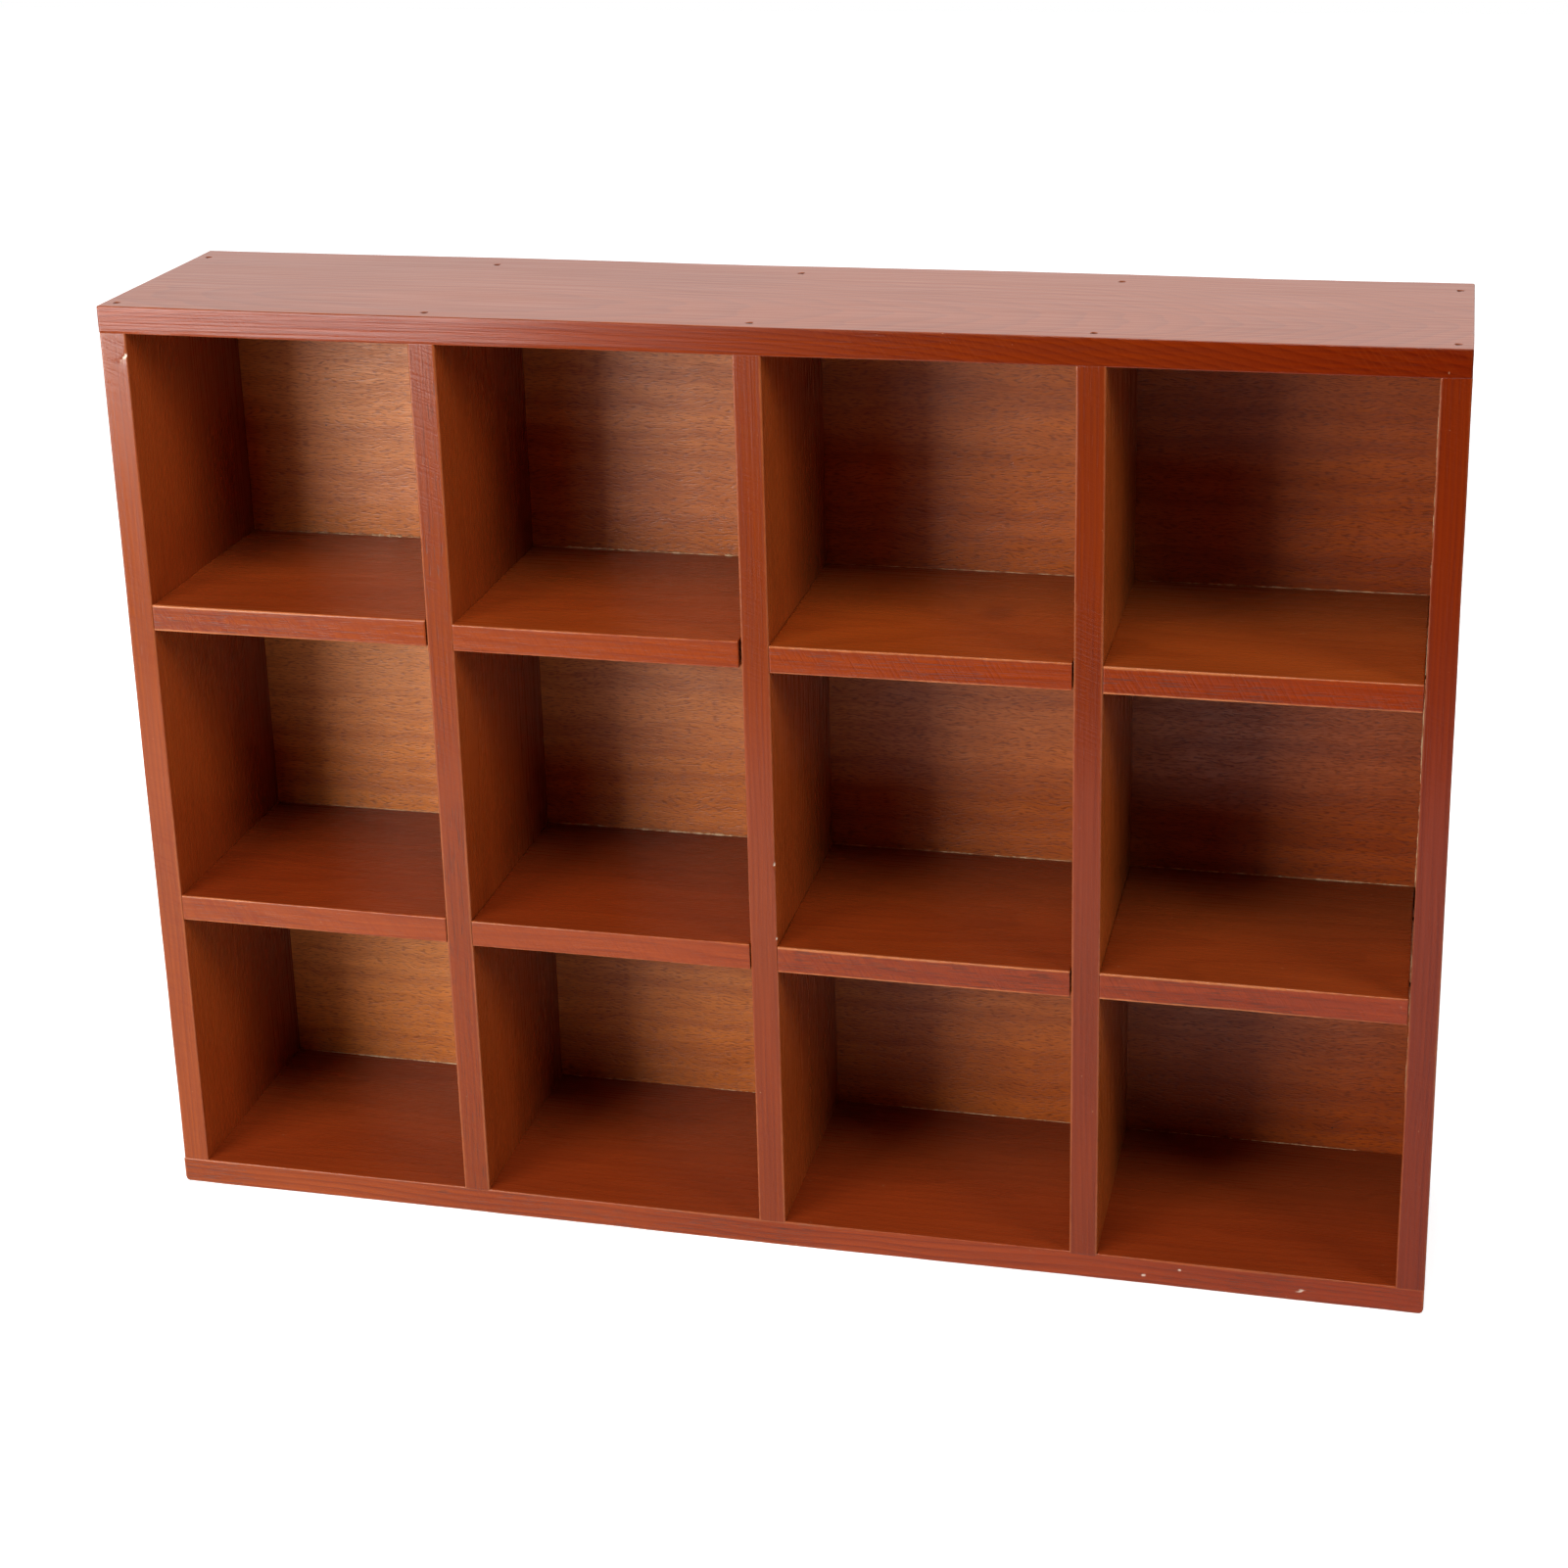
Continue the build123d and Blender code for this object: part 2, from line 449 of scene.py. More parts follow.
def painted_light_falloff(sketch: NodeSketch, place: Any, ends: tuple[Colour, Colour]) -> bpy.types.NodeSocket:
    """Painted light falloff: a tint that is lighter at the left and darker towards the right.

    Args:
        sketch: The material's nodes.
        place: Coordinates in millimetres.
        ends: Tints at the left and the right end of the organizer.

    Returns:
        The tint at each place.
    """
    # painted light falloff along X, from the tint at the left to the tint at the right
    along = sketch.math("MULTIPLY_ADD", sketch.dot(place, ALONG_X), 1.0 / LIGHT_FALLOFF_SPAN, 0.5, clamp=True)
    return sketch.blend(along, *ends)


@dataclass(frozen=True)
class StainedWood:
    """Softwood under a red-brown stain and satin varnish.

    Fields:
        axis: Way of the fibres.
        pith: Distance of the board's middle from the heart of the tree: along, across and through, in mm.
        taper: How fast the rings close in along the tree; a large one draws arches on the faces.
        light, dark: Colours of the early and the late wood under the stain.
        shade: Tint of the board's faces, set board by board.
        rear: Further tint of the faces deep in the compartments: painted shade, less red towards the panel.
        edge_light_falloff: Tints of its front edge at the left and the right end of the organizer: painted
            light falloff, lighter at the left.
        rubbed_and_highlight: Colour of the arrises where the stain is worn off, made paler into a painted
            highlight.
        pore, end_grain, knot_wood, pit, speck, bare: Colours of the pores, the end grain, a knot, the nail
            pits, the pale specks and the bare wood of the nicks.
        deep: Places along Y between which the faces turn to their painted shade tint, in mm.
        outside: Distances from the middle along X between which that tint ends, in mm.
        gloss: Specular level of the varnish.
        roughness, edge_roughness: Roughness of the varnish on the faces and on the front edge.
        ring_spacing, waviness: Pitch of the growth rings and how far they wander, in mm.
        ring_depth, fibre_depth: How strongly the rings and the fibres show on the front edge.
        face_grain: Share of that which is left on the planed faces.
        saw_direction: Unit vector across the saw lines on the front edge.
        saw_depth: How strongly the saw lines show.
        pore_depth: How strongly the pores show on the front edge.
        rub_and_highlight: How much of the stain is worn off the arrises, with a painted highlight there.
        knot: Place of a knot in the frame, in mm, and its radius; none where the radius is 0.
    """

    axis: GrainAxis
    pith: Triple = (0.0, 25.0, 110.0)
    taper: float = 0.02
    light: Colour = (0.312, 0.049, 0.0075, 1.0)
    dark: Colour = (0.165, 0.0195, 0.0031, 1.0)
    shade: Colour = WHITE
    rear: Colour = WHITE
    edge_light_falloff: tuple[Colour, Colour] = EDGE_LIGHT_FALLOFF
    rubbed_and_highlight: Colour = (0.55, 0.185, 0.062, 1.0)
    pore: Colour = (0.060, 0.012, 0.004, 1.0)
    end_grain: Colour = (0.085, 0.012, 0.004, 1.0)
    knot_wood: Colour = (0.10, 0.016, 0.005, 1.0)
    pit: Colour = (0.06, 0.012, 0.005, 1.0)
    speck: Colour = (0.45, 0.23, 0.12, 1.0)
    bare: Colour = (0.70, 0.56, 0.44, 1.0)
    deep: tuple[float, float] = (-25.0, 38.0)
    outside: tuple[float, float] = (198.0, 201.0)
    gloss: float = 0.27
    roughness: float = 0.25
    edge_roughness: float = 0.20
    ring_spacing: float = 1.6
    waviness: float = 9.0
    ring_depth: float = 0.6
    fibre_depth: float = 0.36
    face_grain: float = 0.4
    saw_direction: Triple = (0.87, 0.0, 0.5)
    saw_depth: float = 0.35
    pore_depth: float = 0.6
    rub_and_highlight: float = 0.22
    knot: tuple[Triple, float] = ((0.0, 0.0, 0.0), 0.0)

    def grain_space(self, sketch: NodeSketch, middle: np.ndarray) -> tuple[Any, Triple]:
        """Coordinates with the fibres along X and the heart of the tree on the X axis.

        Args:
            sketch: The material's nodes.
            middle: Middle of the board, in mm.

        Returns:
            The coordinates' socket, and the knot's place in them.
        """
        upright = self.axis is GrainAxis.HEIGHT
        turn = np.array([[0, 0, 1], [0, 1, 0], [-1, 0, 0]]) if upright else np.eye(3)
        shift = np.array(self.pith) - turn @ middle
        mapping = sketch.add(
            "ShaderNodeMapping",
            {
                "Vector": sketch.add("ShaderNodeTexCoord").outputs["Object"],
                "Location": tuple(shift),
                "Rotation": (0.0, math.pi / 2 if upright else 0.0, 0.0),
                "Scale": (1000.0, 1000.0, 1000.0),
            },
        )
        return mapping.outputs[0], tuple(turn @ np.array(self.knot[0]) + shift)

    def painted_shade_share(self, sketch: NodeSketch, place: Any) -> bpy.types.NodeSocket:
        """Share of painted shade deep in the compartments, from 0 near the front and outside to 1 at the
        panel.

        Args:
            sketch: The material's nodes.
            place: Coordinates in millimetres.

        Returns:
            The depth at each place.
        """
        deep = sketch.remap(sketch.dot(place, ALONG_Y), *self.deep)
        aside = sketch.math("ABSOLUTE", sketch.dot(place, ALONG_X))
        return sketch.math("MULTIPLY", deep, sketch.remap(aside, *self.outside, 1.0, 0.0))

    def material(self, name: str, middle: np.ndarray, effects: Effects) -> bpy.types.Material:
        """Build the finish for one board.

        Args:
            name: Name of the material.
            middle: Middle of the board, in mm.
            effects: The shared effects.

        Returns:
            The material.
        """
        material, s, shader = new_material(name, self.light)
        grain, knot_place = self.grain_space(s, middle)
        place = millimetres(s)
        figure = effects.figure.place(s, {
            "Vector": grain, "Ring Spacing": self.ring_spacing, "Waviness": self.waviness,
            "Taper": (self.taper, 1.0, 1.0),
            "Knot Place": knot_place, "Knot Radius": max(self.knot[1], 0.01),
        })
        patch = figure["Blotches"]
        saw_inputs = {"Vector": place, "Direction": self.saw_direction, "Patch": patch}
        saw = effects.saw.place(s, saw_inputs)["Marks"]
        rub_inputs = {"Vector": place, "Arris": s.mark(Mark.ARRIS), "Patch": patch, "Amount": self.rub_and_highlight}
        rub_and_highlight = effects.arris.place(s, rub_inputs)["RubAndHighlight"]
        speck_inputs = {"Vector": place, "Fineness": (0.9, 0.9, 0.9), "Threshold": 0.87}
        pale_specks = effects.specks.place(s, speck_inputs)["Specks"]
        front = s.mark(Mark.FRONT)
        saw_here = s.math("MULTIPLY", saw, s.math("MULTIPLY", front, self.saw_depth))
        pore_share = s.math("MULTIPLY_ADD", front, 0.75 * self.pore_depth, 0.25 * self.pore_depth)
        pores_here = s.math("MULTIPLY", figure["Pores"], pore_share)

        tint = s.math("MULTIPLY", figure["Rings"], self.ring_depth)
        tint = s.math("MULTIPLY_ADD", figure["Fibres"], self.fibre_depth, tint)
        grain_share = s.math("MULTIPLY_ADD", front, 1.0 - self.face_grain, self.face_grain)
        tint = s.math("MULTIPLY", tint, grain_share)
        tint = s.math("MULTIPLY_ADD", patch, 0.22, tint, clamp=True)
        colour = s.blend(tint, self.light, self.dark)
        # faces: painted shade deep in the compartments, by the rear tint
        painted_rear_shade = tuple(np.multiply(self.shade, self.rear))
        face = s.blend(self.painted_shade_share(s, place), self.shade, painted_rear_shade)
        # front edges: painted light falloff, lighter at the left
        edge = painted_light_falloff(s, place, self.edge_light_falloff)
        colour = s.blend(1.0, colour, s.blend(front, face, edge), "MULTIPLY")
        colour = s.blend(saw_here, colour, self.dark)
        colour = s.blend(pores_here, colour, self.pore)
        colour = s.lay(s.mark(Mark.END), 0.55, colour, self.end_grain)
        # worn arrises, made paler into a painted highlight
        colour = s.blend(rub_and_highlight, colour, self.rubbed_and_highlight)
        colour = s.lay(figure["Knot"], 0.35, colour, self.knot_wood)
        colour = s.lay(s.mark(Mark.PIT), 0.75, colour, self.pit)
        colour = s.lay(pale_specks, 0.4, colour, self.speck)
        colour = s.blend(s.mark(Mark.CHIP), colour, self.bare)
        s.feed(shader.inputs["Base Color"], colour)

        rough = s.math("MULTIPLY_ADD", front, self.edge_roughness - self.roughness, self.roughness)
        rough = s.math("MULTIPLY_ADD", figure["Fibres"], 0.08, rough)
        rough = s.math("MULTIPLY_ADD", pores_here, 0.4, rough)
        rough = s.math("MULTIPLY_ADD", s.mark(Mark.CHIP), 0.3, rough, clamp=True)
        s.feed(shader.inputs["Roughness"], rough)

        height = s.math("MULTIPLY", figure["Fibres"], 0.30)
        height = s.math("MULTIPLY_ADD", pores_here, -1.1, height)
        height = s.math("MULTIPLY_ADD", saw_here, -0.7, height)
        s.bump(shader, height, 0.5, 0.14 * MM)
        shader.inputs["Specular IOR Level"].default_value = self.gloss
        shader.inputs["Coat Weight"].default_value = 0.08
        shader.inputs["Coat Roughness"].default_value = 0.22
        return material


@dataclass(frozen=True)
class StainedPlywood:
    """Thin plywood with a golden stain: short wavy flecks along X, slow bands and a few pin holes.

    Fields:
        light, dark: Colours between the bands and in them.
        fleck: Colour of the flecks.
        pin_hole, pit: Colours of the pin holes and the nail pits.
        painted_bounce_shade: Tint at the foot of each row, on the inner side: painted shade and orange
            bounce light from the shelf below.
        row_start, row_pitch: Height of the lowest compartment's floor, and of one row, in mm.
        inner_side: Places along Y between which the inner side's tint ends, in mm.
    """

    light: Colour = (0.465, 0.168, 0.033, 1.0)
    dark: Colour = (0.300, 0.090, 0.014, 1.0)
    fleck: Colour = (0.11, 0.027, 0.006, 1.0)
    pin_hole: Colour = (0.03, 0.010, 0.004, 1.0)
    pit: Colour = (0.06, 0.018, 0.006, 1.0)
    painted_bounce_shade: Colour = (0.96, 0.84, 0.56, 1.0)
    row_start: float = 8.5
    row_pitch: float = 97.17
    inner_side: tuple[float, float] = (38.2, 39.0)

    def painted_bounce_shade_share(self, sketch: NodeSketch, place: Any) -> bpy.types.NodeSocket:
        """How much painted shade and bounce light there is: most at the foot of each row of compartments,
        none past its middle.

        Args:
            sketch: The material's nodes.
            place: Coordinates in millimetres.

        Returns:
            The share at each place, 0 on the rear side.
        """
        start = -self.row_start / self.row_pitch
        rows = sketch.math("MULTIPLY_ADD", sketch.dot(place, ALONG_Z), 1.0 / self.row_pitch, start)
        foot = sketch.remap(sketch.math("FRACT", rows), 0.0, 0.5, 1.0, 0.0)
        inside = sketch.remap(sketch.dot(place, ALONG_Y), *self.inner_side, 1.0, 0.0)
        return sketch.math("MULTIPLY", foot, inside)

    def material(self, name: str, effects: Effects) -> bpy.types.Material:
        """Build the finish of the panel.

        Args:
            name: Name of the material.
            effects: The shared effects.

        Returns:
            The material.
        """
        material, s, shader = new_material(name, self.light)
        place = millimetres(s)
        wander = s.noise(s.vector("MULTIPLY", place, (0.05, 0.05, 0.12)), 1.0, 1.0)
        sway = s.add("ShaderNodeCombineXYZ", {2: s.math("MULTIPLY", wander, 5.0)}).outputs[0]
        wavy = s.vector("ADD", place, sway)
        bands = s.noise(s.vector("MULTIPLY", wavy, (0.006, 0.02, 0.16)), 1.0, 1.0)
        streaks = s.noise(s.vector("MULTIPLY", wavy, (0.09, 0.3, 1.7)), 1.0, 2.0)
        flecks = s.noise(s.vector("MULTIPLY", wavy, (0.42, 0.8, 3.0)), 1.0, 1.0)
        fleck_share = s.remap(flecks, 0.47, 0.70)
        pin_inputs = {"Vector": place, "Fineness": (0.5, 0.5, 0.6), "Threshold": 0.865}
        pins = effects.specks.place(s, pin_inputs)["Specks"]
        streak_share = s.remap(streaks, 0.3, 0.7)
        tint = s.math("MULTIPLY", s.remap(bands, 0.34, 0.68), 0.5)
        tint = s.math("MULTIPLY_ADD", streak_share, 0.45, tint, clamp=True)
        colour = s.blend(tint, self.light, self.dark)
        colour = s.lay(fleck_share, 0.58, colour, self.fleck)
        # painted light falloff: the panel lighter at the left and darker to the right
        colour = s.blend(1.0, colour, painted_light_falloff(s, place, VENEER_LIGHT_FALLOFF), "MULTIPLY")
        # painted shade and orange bounce light at the foot of each row
        colour = s.blend(self.painted_bounce_shade_share(s, place), colour, self.painted_bounce_shade, "MULTIPLY")
        colour = s.lay(pins, 0.9, colour, self.pin_hole)
        colour = s.lay(s.mark(Mark.PIT), 0.8, colour, self.pit)
        s.feed(shader.inputs["Base Color"], colour)
        s.feed(shader.inputs["Roughness"], s.math("MULTIPLY_ADD", streak_share, 0.12, 0.33))
        height = s.math("MULTIPLY_ADD", fleck_share, -0.9, s.math("MULTIPLY", streaks, 0.4))
        s.bump(shader, height, 0.4, 0.12 * MM)
        return material


@dataclass(frozen=True)
class StainedSteel:
    """Nail heads that took on the stain.

    Fields:
        steel, rust: Colours of the dark steel and of its brown patches.
    """

    steel: Colour = (0.13, 0.11, 0.10, 1.0)
    rust: Colour = (0.060, 0.020, 0.010, 1.0)

    def material(self, name: str) -> bpy.types.Material:
        """Build the finish of the nails.

        Args:
            name: Name of the material.

        Returns:
            The material.
        """
        material, s, shader = new_material(name, self.steel)
        place = millimetres(s)
        patches = s.remap(s.noise(place, 0.9, 2.0), 0.35, 0.6)
        s.feed(shader.inputs["Base Color"], s.blend(patches, self.steel, self.rust))
        s.feed(shader.inputs["Metallic"], s.math("MULTIPLY_ADD", patches, -0.75, 0.9))
        s.feed(shader.inputs["Roughness"], s.math("MULTIPLY_ADD", patches, 0.25, 0.45))
        s.bump(shader, s.noise(place, 2.5, 2.0), 0.3, 0.1 * MM)
        return material


@dataclass(frozen=True)
class DriedGlue:
    """Pale dried glue and torn fibres in the joints of the panel.

    Fields:
        clear, stained: Colours of the glue as it dried, and where it took on the stain.
    """

    clear: Colour = (0.62, 0.43, 0.24, 1.0)
    stained: Colour = (0.33, 0.13, 0.045, 1.0)

    def material(self, name: str) -> bpy.types.Material:
        """Build the finish of the glue lines.

        Args:
            name: Name of the material.

        Returns:
            The material.
        """
        material, s, shader = new_material(name, self.clear)
        place = millimetres(s)
        patches = s.remap(s.noise(place, 0.28, 3.0), 0.4, 0.66)
        s.feed(shader.inputs["Base Color"], s.blend(patches, self.clear, self.stained))
        s.feed(shader.inputs["Roughness"], s.math("MULTIPLY_ADD", patches, 0.2, 0.45))
        s.bump(shader, s.noise(place, 1.6, 2.0), 0.4, 0.1 * MM)
        return material


@dataclass(frozen=True)
class NailPit:
    """A small pit over a nail head.

    Fields:
        middle: Its middle on the face, in metres.
        axis, sign: Axis of that face, and which way it points.
    """

    middle: Triple
    axis: int
    sign: int


@dataclass(frozen=True)
class Nick:
    """A dent or splinter in an arris.

    Fields:
        middle: Its middle, in metres.
        radius: Its reach, in metres.
        depth: Its depth, in metres.
        pale: How pale its bare wood is, from 0 to 1.
        run: Unit vector along which it is drawn out.
        stretch: How much longer it is along that way than across.
    """

    middle: Triple
    radius: float = 1.0 * MM
    depth: float = 0.3 * MM
    pale: float = 0.8
    run: Triple = (0.0, 0.0, 1.0)
    stretch: float = 1.6


@dataclass
class Plank:
    """One board as a closed grid: a box whose arrises are rounded unevenly, warped, pitted and nicked.

    Fields:
        node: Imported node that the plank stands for.
        low, high: Corners of the plank, in metres.
        radii: Radii of its rounded arrises towards x, y and z, in metres.
        free_axes: Axes whose faces are in the open; an arris between two of them gets worn.
        grain: Axis of the fibres.
        seed: Seed of the unevenness.
        pits, nicks: Nail pits and dents.
        warp: How far the faces wander, in metres.
        uneven: How much the radius of the arrises varies, as a share.
        step: Spacing of the grid lines on the flat faces, in metres.
        foot: Radius to which the lower end corners are worn round, in metres; 0 leaves them as they are.
    """

    node: str
    low: np.ndarray
    high: np.ndarray
    radii: np.ndarray
    free_axes: tuple[int, ...]
    grain: GrainAxis
    seed: int
    pits: Sequence[NailPit] = ()
    nicks: Sequence[Nick] = ()
    warp: float = 0.12 * MM
    uneven: float = 0.3
    step: float = 3.5 * MM
    foot: float = 0.0

    NEAREST = 0.03 * MM
    ARRIS_LINES = (0.0, 0.586, 1.0)
    RUB_AND_HIGHLIGHT_REACH = 1.3 * MM
    PIT_RADIUS = 0.95 * MM
    PIT_DEPTH = 0.5 * MM
    PIT_LINES = (0.0, 0.5, 0.85, 1.0, 1.15, 1.3, 1.8, 2.6)
    NICK_LINES = (0.0, 0.25, 0.5, 0.75, 1.0, 1.4)
    FOOT_LINES = (0.12, 0.27, 0.45, 0.7, 1.0)

    @property
    def middle(self) -> np.ndarray:
        """Middle of the plank, in metres."""
        return (self.low + self.high) / 2

    def grid_lines(self, axis: int) -> np.ndarray:
        """Places of the grid lines along one axis, from the plank's middle.

        The lines are close in the rounded arrises, at even steps on the flat faces, and close again around
        nail pits and nicks.

        Args:
            axis: Number of the axis.

        Returns:
            Rising places, in metres.
        """
        half = (self.high - self.low)[axis] / 2
        edge = half - self.radii[axis] * np.array(self.ARRIS_LINES)
        edge = np.append(edge, half - self.radii[axis] - np.array([0.5, 1.6]) * MM)
        count = max(int(np.ceil(2 * half / self.step)), 2)
        flat = np.linspace(-half, half, count + 1)[1:-1]
        flat = flat[np.abs(flat) < edge.min() - 0.5 * MM]
        lines = [edge, -edge, flat]
        if self.foot:
            curve = half - self.foot * np.array(self.FOOT_LINES)
            lines += [curve, -curve]
        spots = [(pit.middle, self.PIT_LINES, self.PIT_RADIUS) for pit in self.pits if pit.axis != axis]
        spots += [(nick.middle, self.NICK_LINES, nick.radius) for nick in self.nicks]
        for middle, shares, radius in spots:
            place = middle[axis] - self.middle[axis]
            around = np.array(shares) * radius
            lines += [place + around, place - around]
        inner = np.sort(np.concatenate(lines))
        inner = inner[np.abs(inner) < half - self.NEAREST]
        keep = np.append(True, np.diff(inner) > self.NEAREST)
        return np.concatenate([[-half], inner[keep], [half]])

    def lattice(self) -> tuple[np.ndarray, np.ndarray]:
        """Points and faces of the plain box, as the shell of a lattice of grid lines.

        Returns:
            Points from the plank's middle, and rows of four point numbers.
        """
        lines = [self.grid_lines(axis) for axis in range(3)]
        shell = np.ones([len(row) for row in lines], dtype=bool)
        shell[1:-1, 1:-1, 1:-1] = False
        index = np.full(shell.shape, -1)
        index[shell] = np.arange(shell.sum())
        points = np.stack([row[number] for row, number in zip(lines, np.nonzero(shell))], axis=1)
        faces = np.concatenate([
            quads(index[-1], True), quads(index[0], False),
            quads(index[:, -1], False), quads(index[:, 0], True),
            quads(index[:, :, -1], True), quads(index[:, :, 0], False),
        ])
        return points, faces

    def rounded(self, points: np.ndarray) -> np.ndarray:
        """Round the box: clamp a point to an inner box and go out from there by the radius.

        The inner box is smaller by radii that vary along the arrises, and the way out is scaled by the
        radii of the three axes, so that an end that meets another board can have a tight arris.

        Args:
            points: Points on the plain box, from its middle.

        Returns:
            The rounded points.
        """
        half = (self.high - self.low) / 2
        swell = 1.0 + self.uneven * ripple(points, 26 * MM, self.seed)
        swell = swell + 0.4 * self.uneven * ripple(points, 5 * MM, self.seed + 1)
        radii = self.radii * np.clip(swell, 0.35, 1.9)[:, None]
        core = np.clip(points, radii - half, half - radii)
        way = (points - core) / radii
        return core + radii * way / np.linalg.norm(way, axis=1, keepdims=True)

    def worn_feet(self, points: np.ndarray) -> np.ndarray:
        """Wear the lower end corners round.

        In the XZ plane no point stays further than the foot radius from the middle of the corner's arc.

        Args:
            points: Points from the plank's middle.

        Returns:
            The points, with those outside the arcs drawn in to them.
        """
        half = (self.high - self.low) / 2
        side = np.sign(points[:, 0])
        level = np.full(len(points), self.foot - half[2])
        centre = np.stack([side * (half[0] - self.foot), level], axis=1)
        offset = points[:, [0, 2]] - centre
        inside = (offset[:, 0] * side < 0) | (offset[:, 1] > 0)
        length = np.linalg.norm(offset, axis=1)
        share = np.where(inside, 1.0, self.foot / np.maximum(length, self.foot))
        worn = points.copy()
        worn[:, [0, 2]] = centre + offset * share[:, None]
        return worn

    def pit_depths(self, points: np.ndarray, pit: NailPit) -> tuple[np.ndarray, np.ndarray]:
        """Depth of a nail pit at each point: full inside its radius, with a soft uneven rim.

        Args:
            points: Points in the frame.
            pit: The pit.

        Returns:
            The depth, and how close each point is to the pit from 0 to 1.
        """
        offset = points - np.array(pit.middle)
        near_face = np.abs(offset[:, pit.axis]) < 1.2 * MM
        first, second = [axis for axis in range(3) if axis != pit.axis]
        angle = np.arctan2(offset[:, second], offset[:, first])
        phase = 1000.0 * (pit.middle[first] + 2.0 * pit.middle[second])
        reach = np.hypot(offset[:, first], offset[:, second]) / (1.0 + 0.12 * np.sin(3.0 * angle + phase))
        depth = self.PIT_DEPTH * (1.0 - smooth_step(reach, 0.85 * self.PIT_RADIUS, 1.2 * self.PIT_RADIUS))
        close = 1.0 - smooth_step(reach, 0.9 * self.PIT_RADIUS, 1.4 * self.PIT_RADIUS)
        return depth * near_face, close * near_face

    def nick_dent(self, points: np.ndarray, nick: Nick) -> tuple[np.ndarray, np.ndarray]:
        """Dent of a nick at each point: deepest at its middle, and fading out at a ragged reach.

        Args:
            points: Points in the frame.
            nick: The nick.

        Returns:
            How each point moves, and how bare its wood gets from 0 to 1.
        """
        run = np.array(nick.run)
        offset = points - np.array(nick.middle)
        along = offset @ run
        offset = offset - (1.0 - 1.0 / nick.stretch) * along[:, None] * run
        rough = 1.0 + 0.35 * ripple(points, 1.1 * MM, self.seed + 30)
        reach = np.linalg.norm(offset, axis=1) * rough / nick.radius
        inward = self.middle - np.array(nick.middle)
        inward = np.where(np.abs(inward) < 0.48 * (self.high - self.low), 0.0, inward)
        inward = inward / max(np.linalg.norm(inward), 1e-9)
        dent = nick.depth * (1.0 - smooth_step(reach, 0.2, 1.0))
        return dent[:, None] * inward, nick.pale * (1.0 - smooth_step(reach, 0.45, 0.85))

    def warped(self, points: np.ndarray) -> np.ndarray:
        """Let the points wander by two smooth random fields, a slow one and a quarter of a quicker one."""
        axes = range(3)
        drift = [ripple(points, 170 * MM, self.seed + 10 + axis, 4) for axis in axes]
        wander = [ripple(points, 45 * MM, self.seed + 20 + axis, 4) for axis in axes]
        return points + self.warp * (np.stack(drift, axis=1) + 0.25 * np.stack(wander, axis=1))

    def marks(self, points: np.ndarray) -> dict[Mark, np.ndarray]:
        """Closeness to worn arrises, and which points are on the front edge or the end grain.

        Args:
            points: Points on the plain box, from its middle.

        Returns:
            One number from 0 to 1 for each point and mark.
        """
        gaps = (self.high - self.low) / 2 - np.abs(points)
        pairs = [(a, b) for a in self.free_axes for b in self.free_axes if a < b]
        from_arrises = [np.maximum(gaps[:, a], gaps[:, b]) for a, b in pairs]
        reach = np.min(from_arrises or [np.ones(len(points))], axis=0)
        return {
            Mark.ARRIS: 1.0 - smooth_step(reach, 0.15 * MM, self.RUB_AND_HIGHLIGHT_REACH),
            Mark.FRONT: (points[:, 1] <= points[:, 1].min() + 1e-7).astype(float),
            Mark.END: (gaps[:, self.grain.value] < 1e-7).astype(float),
            Mark.PIT: np.zeros(len(points)),
            Mark.CHIP: np.zeros(len(points)),
        }

    def build(self, name: str) -> bpy.types.Object:
        """Make the plank's object in the place of its node.

        Args:
            name: Name of the piece.

        Returns:
            The object.
        """
        box, faces = self.lattice()
        marks = self.marks(box)
        points = self.rounded(box)
        if self.foot:
            points = self.worn_feet(points)
        points = self.warped(points + self.middle)
        for pit in self.pits:
            depth, close = self.pit_depths(points, pit)
            points[:, pit.axis] -= pit.sign * depth
            marks[Mark.PIT] = np.maximum(marks[Mark.PIT], close)
        for nick in self.nicks:
            dent, bare = self.nick_dent(points, nick)
            points = points + dent
            marks[Mark.CHIP] = np.maximum(marks[Mark.CHIP], bare)
        return make_object(name, points, faces, marks)


def node_box(node: str) -> tuple[np.ndarray, np.ndarray]:
    """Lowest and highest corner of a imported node, as arrays."""
    low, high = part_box(node)
    return np.array(low), np.array(high)


def dress(
    piece: bpy.types.Object, material: bpy.types.Material, node: str | None = None
) -> None:
    """Give a new piece its finish, its body and the node that it stands for.

    Args:
        piece: The piece.
        material: Its finish.
        node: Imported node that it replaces, if any.
    """
    piece.data.materials.append(material)
    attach(piece, BODY)
    if node:
        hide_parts(node)
    LOG.info("%s: %d faces", piece.name, len(piece.data.polygons))


